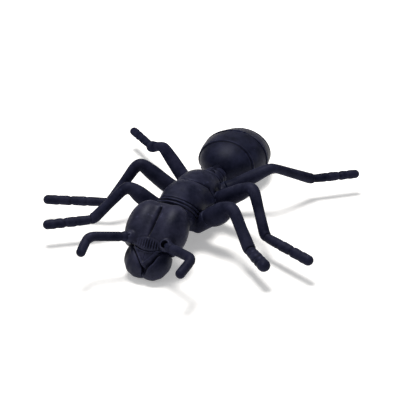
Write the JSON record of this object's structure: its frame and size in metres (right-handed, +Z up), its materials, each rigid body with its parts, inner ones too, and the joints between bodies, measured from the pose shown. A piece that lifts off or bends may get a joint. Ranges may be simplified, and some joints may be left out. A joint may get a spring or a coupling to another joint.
{
  "type": "toy ant figure",
  "caption": "Giant soft vinyl toy ant lying on its belly and jaws, with plug-in legs and feelers that swivel and a head and gaster that turn on pins.",
  "frame": {"origin": "middle of the bounding box, on the ground that the jaws and the gaster's belly rest on", "axes": "-Y the way the ant faces, +X its own left, +Z up"},
  "size_m": [0.1552, 0.1681, 0.0321],
  "materials": {
    "vinyl_shell": "matte blue-black soft vinyl",
    "vinyl_head": "matte blue-black soft vinyl",
    "vinyl_gaster": "matte blue-black soft vinyl",
    "vinyl_limb": "matte blue-black soft vinyl",
    "vinyl_pin": "matte blue-black soft vinyl"
  },
  "bodies": {
    "thorax": {"thorax_upper": "vinyl_shell", "thorax_lower": "vinyl_shell", "neck_pin": "vinyl_pin", "waist_ring": "vinyl_shell", "waist_pin": "vinyl_pin"},
    "head": {"head_front": "vinyl_head", "head_rear": "vinyl_head", "jaw_left": "vinyl_head", "jaw_right": "vinyl_head", "upper_lip": "vinyl_head"},
    "feeler_left": {"antenna_left": "vinyl_limb"},
    "feeler_right": {"antenna_right": "vinyl_limb"},
    "gaster": {"gaster_front": "vinyl_gaster", "gaster_rear": "vinyl_gaster"},
    "leg_fl": {"leg_front_left": "vinyl_limb"},
    "leg_fr": {"leg_front_right": "vinyl_limb"},
    "leg_ml": {"leg_middle_left": "vinyl_limb"},
    "leg_mr": {"leg_middle_right": "vinyl_limb"},
    "leg_hl": {"leg_hind_left": "vinyl_limb"},
    "leg_hr": {"leg_hind_right": "vinyl_limb"}
  },
  "joints": [
    {"name": "head_turn", "type": "hinge", "parent": "thorax", "child": "head", "pos_m": [0, -0.04, 0.019], "axis": [0, 1, 0], "range_deg": [-15, 15]},
    {"name": "gaster_turn", "type": "hinge", "parent": "thorax", "child": "gaster", "pos_m": [0, 0.02, 0.018], "axis": [0, 0.9925, -0.1219], "range_deg": [-20, 20]},
    {"name": "feeler_left_turn", "type": "hinge", "parent": "head", "child": "feeler_left", "pos_m": [0.0105, -0.0603, 0.0199], "axis": [0.8838, -0.4541, 0.1123], "range_deg": [-30, 30]},
    {"name": "feeler_right_turn", "type": "hinge", "parent": "head", "child": "feeler_right", "pos_m": [-0.0094, -0.0603, 0.0207], "axis": [-0.8107, -0.5717, 0.1265], "range_deg": [-30, 30]},
    {"name": "leg_front_left_turn", "type": "hinge", "parent": "thorax", "child": "leg_fl", "pos_m": [0.0163, -0.021, 0.0162], "axis": [0.7782, -0.0834, 0.6225], "range_deg": [-12, 12]},
    {"name": "leg_front_right_turn", "type": "hinge", "parent": "thorax", "child": "leg_fr", "pos_m": [-0.0141, -0.021, 0.0166], "axis": [-0.826, -0.0805, 0.5578], "range_deg": [-12, 12]},
    {"name": "leg_middle_left_turn", "type": "hinge", "parent": "thorax", "child": "leg_ml", "pos_m": [0.0145, 0.001, 0.0161], "axis": [0.8167, -0.1458, 0.5583], "range_deg": [-12, 12]},
    {"name": "leg_middle_right_turn", "type": "hinge", "parent": "thorax", "child": "leg_mr", "pos_m": [-0.0142, 0.001, 0.0166], "axis": [-0.7808, -0.1485, 0.6068], "range_deg": [-12, 12]},
    {"name": "leg_hind_left_turn", "type": "hinge", "parent": "thorax", "child": "leg_hl", "pos_m": [0.0125, 0.0155, 0.0148], "axis": [0.7678, 0.4799, 0.4245], "range_deg": [-12, 12]},
    {"name": "leg_hind_right_turn", "type": "hinge", "parent": "thorax", "child": "leg_hr", "pos_m": [-0.0125, 0.0155, 0.0148], "axis": [-0.7553, 0.4909, 0.4343], "range_deg": [-12, 12]}
  ]
}
